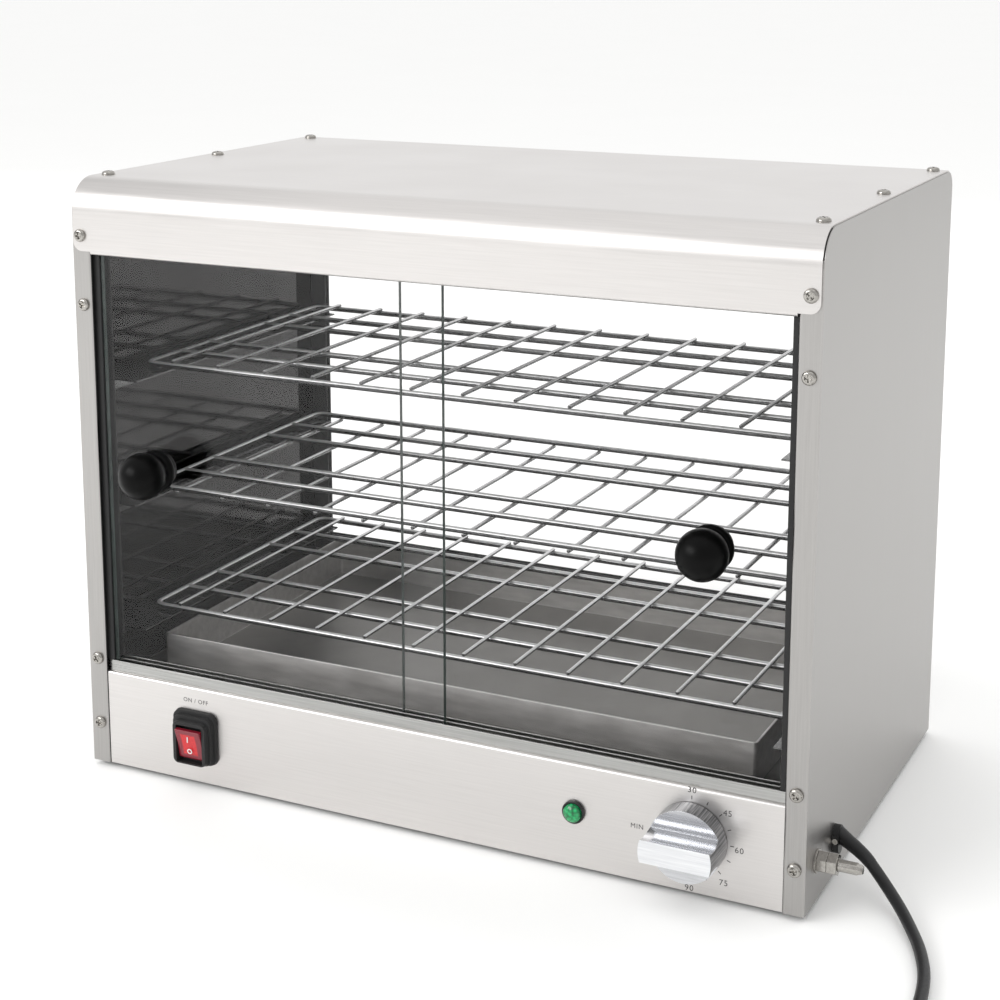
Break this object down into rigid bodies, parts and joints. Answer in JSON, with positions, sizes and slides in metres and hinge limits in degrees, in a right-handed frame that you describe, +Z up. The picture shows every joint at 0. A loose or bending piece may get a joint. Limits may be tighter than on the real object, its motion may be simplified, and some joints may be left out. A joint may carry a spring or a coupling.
{
  "type": "pie warmer cabinet",
  "caption": "Countertop pie warmer cabinet with sliding glass doors, lift-out wire shelves, a crumb tray, a thermostat dial and a lit power switch.",
  "frame": {"origin": "middle of the bottom of the box round the cabinet's fixed pieces, on the bench", "axes": "+X to the cabinet's right as its front is faced, +Y to its back, +Z up"},
  "size_m": [0.789, 0.531, 0.4526],
  "materials": {
    "satin_steel": "satin brushed stainless sheet",
    "bright_steel": "bright rolled stainless sheet",
    "wire": "bright plated wire",
    "clear_glass": "clear float glass",
    "black_rubber": "soft black",
    "black_plastic": "black moulded",
    "bright_knob": "bright plated plastic",
    "screw_steel": "nickel plated",
    "element_metal": "dark heated sheath",
    "copper_bulb": "copper",
    "red_plastic": "clear red",
    "green_lens": "clear green",
    "lamp_shell": "black",
    "terminal_plastic": "off white",
    "pin_brass": "bare brass"
  },
  "bodies": {
    "cabinet": {"top_cover": "satin_steel", "left_side_panel": "satin_steel", "right_side_panel": "satin_steel", "control_panel": "satin_steel", "bottom_track": "satin_steel", "top_track": "satin_steel", "ceiling_panel": "bright_steel", "base_pan": "bright_steel", "rear_panel": "bright_steel", "floor_deck": "bright_steel", "left_top_runner": "bright_steel", "left_middle_runner": "bright_steel", "left_bottom_runner": "bright_steel", "right_top_runner": "bright_steel", "right_middle_runner": "bright_steel", "right_bottom_runner": "bright_steel", "rear_glass": "clear_glass", "rear_glass_seal": "black_rubber", "door_buffers": "black_rubber", "switch_boot": "black_rubber", "feet": "black_rubber", "power_cord": "black_rubber", "cord_coil": "black_rubber", "cord_clamp": "black_plastic", "plug_body": "black_plastic", "switch_body": "black_plastic", "strip_screws": "screw_steel", "roof_screws": "screw_steel", "rear_screws": "screw_steel", "clamp_screw": "screw_steel", "foot_screws": "screw_steel", "earth_stud": "screw_steel", "earth_nuts": "screw_steel", "earth_washer": "screw_steel", "element_clips": "screw_steel", "thermostat_body": "screw_steel", "heating_element": "element_metal", "thermostat_bulb": "copper_bulb", "lamp_lens": "green_lens", "lamp_body": "lamp_shell", "terminal_block": "terminal_plastic", "plug_pins": "pin_brass"},
    "left_door": {"left_door_glass": "clear_glass", "left_door_knob": "black_plastic", "left_knob_screw": "screw_steel"},
    "right_door": {"right_door_glass": "clear_glass", "right_door_knob": "black_plastic", "right_knob_screw": "screw_steel"},
    "thermostat_dial": {"thermostat_knob": "bright_knob", "thermostat_shaft": "screw_steel"},
    "rocker": {"power_rocker": "red_plastic"},
    "upper_rack": {"top_shelf": "wire"},
    "centre_rack": {"middle_shelf": "wire"},
    "lower_rack": {"bottom_shelf": "wire"},
    "tray": {"crumb_tray": "bright_steel"}
  },
  "joints": [
    {"name": "left_door_slide", "type": "slide", "parent": "cabinet", "child": "left_door", "axis": [1, 0, 0], "range_m": [0, 0.18]},
    {"name": "right_door_slide", "type": "slide", "parent": "cabinet", "child": "right_door", "axis": [1, 0, 0], "range_m": [-0.18, 0]},
    {"name": "thermostat_turn", "type": "hinge", "parent": "cabinet", "child": "thermostat_dial", "pos_m": [0.1865, -0.15115, 0.042], "axis": [0, 1, 0], "range_deg": [0, 270]},
    {"name": "rocker_tilt", "type": "hinge", "parent": "cabinet", "child": "rocker", "pos_m": [-0.2015, -0.15375, 0.0365], "axis": [1, 0, 0], "range_deg": [-16, 0]},
    {"name": "top_shelf_lift", "type": "slide", "parent": "cabinet", "child": "upper_rack", "axis": [0, 0, 1], "range_m": [0, 0.07]},
    {"name": "middle_shelf_lift", "type": "slide", "parent": "cabinet", "child": "centre_rack", "axis": [0, 0, 1], "range_m": [0, 0.07]},
    {"name": "bottom_shelf_lift", "type": "slide", "parent": "cabinet", "child": "lower_rack", "axis": [0, 0, 1], "range_m": [0, 0.07]},
    {"name": "crumb_tray_draw", "type": "slide", "parent": "cabinet", "child": "tray", "axis": [0, -1, 0], "range_m": [0, 0.02]}
  ]
}
